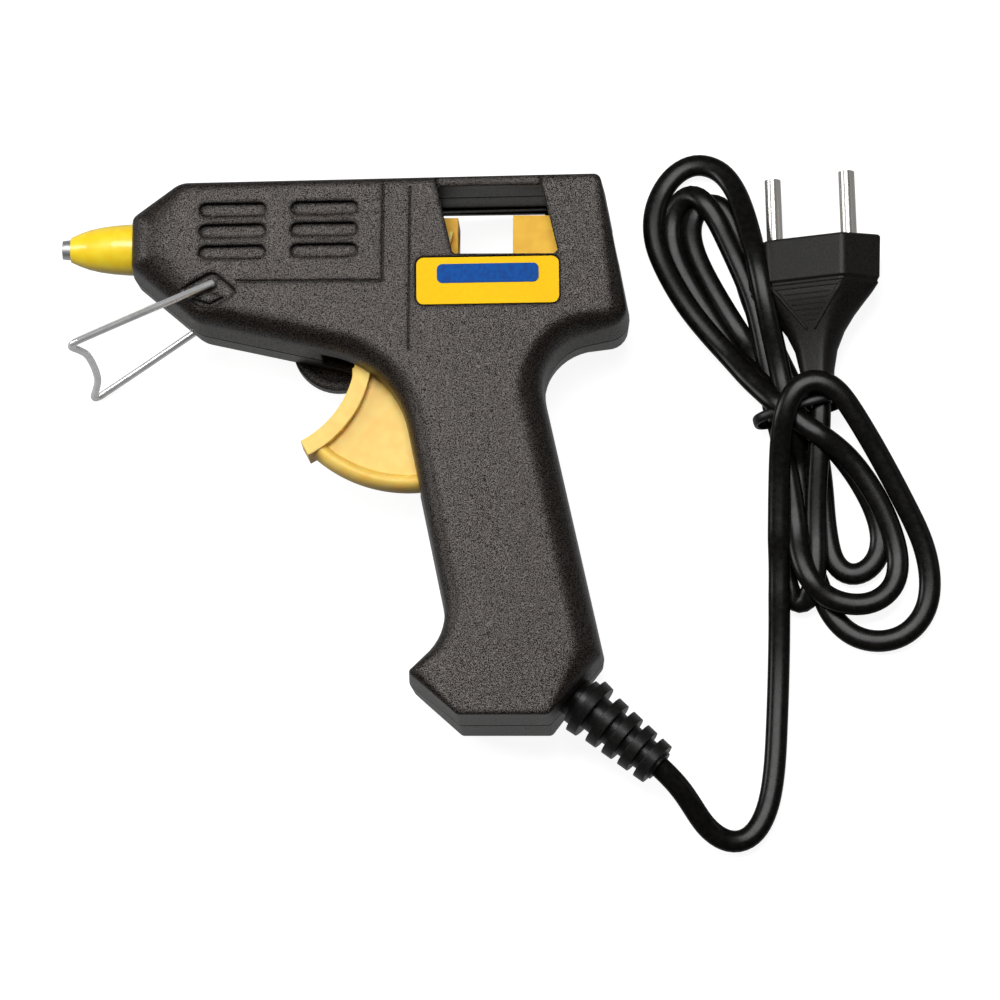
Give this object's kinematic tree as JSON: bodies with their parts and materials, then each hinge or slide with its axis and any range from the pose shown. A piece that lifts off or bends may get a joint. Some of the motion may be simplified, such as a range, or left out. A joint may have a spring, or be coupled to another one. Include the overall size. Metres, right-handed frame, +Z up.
{
  "type": "glue gun",
  "caption": "Trigger-fed hot glue gun lying on its side, with a wire stand, ribbed strain relief and its two-pin mains lead tied in a hank.",
  "frame": {"origin": "on the surface under the middle of the gun without its free lead, as it lies on its right side", "axes": "+Z up from the surface, +X from nozzle towards the rear of the gun, +Y from handle towards the top of the barrel"},
  "size_m": [0.2162, 0.1753, 0.0576],
  "materials": {
    "housing": "fine matt texture",
    "label_yellow": "printed film",
    "label_blue": "printed film",
    "nozzle_metal": "turned",
    "sleeve_rubber": "smooth silicone",
    "steel": "plain",
    "cast_metal": "die cast",
    "ceramic": "fired ceramic",
    "brass_strip": "strip",
    "film": "thin film",
    "red_rubber": "silicone",
    "trigger_plastic": "satin",
    "carriage_plastic": "satin",
    "bright_wire": "bright plated wire",
    "screw_steel": "plated",
    "brown_wire": "wire insulation",
    "blue_wire": "wire insulation",
    "black_rubber": "matt",
    "cord_black": "smooth flexible sheath",
    "tie_black": "soft tie",
    "plug_black": "satin moulding",
    "pin_metal": "plated"
  },
  "bodies": {
    "housing": {"left_shell": "housing", "right_shell": "housing", "label_plate": "label_yellow", "label_panel": "label_blue", "nozzle": "nozzle_metal", "nozzle_sleeve": "sleeve_rubber", "valve_spring": "steel", "melt_chamber": "cast_metal", "ptc_heater": "ceramic", "electrode_inner": "brass_strip", "electrode_outer": "brass_strip", "insulator_film": "film", "heater_clamp": "steel", "inlet_sleeve": "red_rubber", "sleeve_clip": "steel", "trigger_pin": "steel", "case_screws": "screw_steel", "clamp_screws": "screw_steel", "cord_clamp": "housing", "lead_live": "brown_wire", "lead_neutral": "blue_wire", "crimps": "brass_strip", "strain_relief": "black_rubber", "trigger_spring": "steel", "mains_lead": "cord_black", "hank_upper": "cord_black", "hank_lower": "cord_black", "cord_tie": "tie_black", "plug_body": "plug_black", "plug_pins": "pin_metal"},
    "trigger": {"trigger": "trigger_plastic"},
    "carriage": {"carriage": "carriage_plastic", "jaw_pin": "steel"},
    "jaw": {"grip_jaw": "steel"},
    "stand": {"wire_stand": "bright_wire"},
    "valve": {"valve_ball": "steel"}
  },
  "joints": [
    {"name": "trigger_pull", "type": "hinge", "parent": "housing", "child": "trigger", "pos_m": [0.01096, 0.032, 0.02019], "axis": [0.1085, -0.0119, 0.994], "range_deg": [0, 20.2]},
    {"name": "carriage_slide", "type": "slide", "parent": "housing", "child": "carriage", "axis": [-0.9941, 0, 0.1085], "range_m": [0, 0.0096], "stiffness_N_per_m": 190, "springref_m": -0.015},
    {"name": "jaw_grip", "type": "hinge", "parent": "carriage", "child": "jaw", "pos_m": [0.02053, 0.0526, 0.01939], "axis": [0.1085, -0.0119, 0.994], "range_deg": [0, 6], "stiffness_Nm_per_rad": 0.003, "springref_deg": -8.59},
    {"name": "stand_swing", "type": "hinge", "parent": "housing", "child": "stand", "pos_m": [-0.03674, 0.0465, 0.02557], "axis": [0.1085, -0.0119, 0.994], "range_deg": [0, 80]},
    {"name": "valve_lift", "type": "slide", "parent": "housing", "child": "valve", "axis": [0.9941, 0, -0.1085], "range_m": [0, 0.0006], "stiffness_N_per_m": 60, "springref_m": -0.003}
  ],
  "couplings": [
    {"joint": "trigger_pull", "follows": "carriage_slide", "rad_per_m": 36.364}
  ]
}
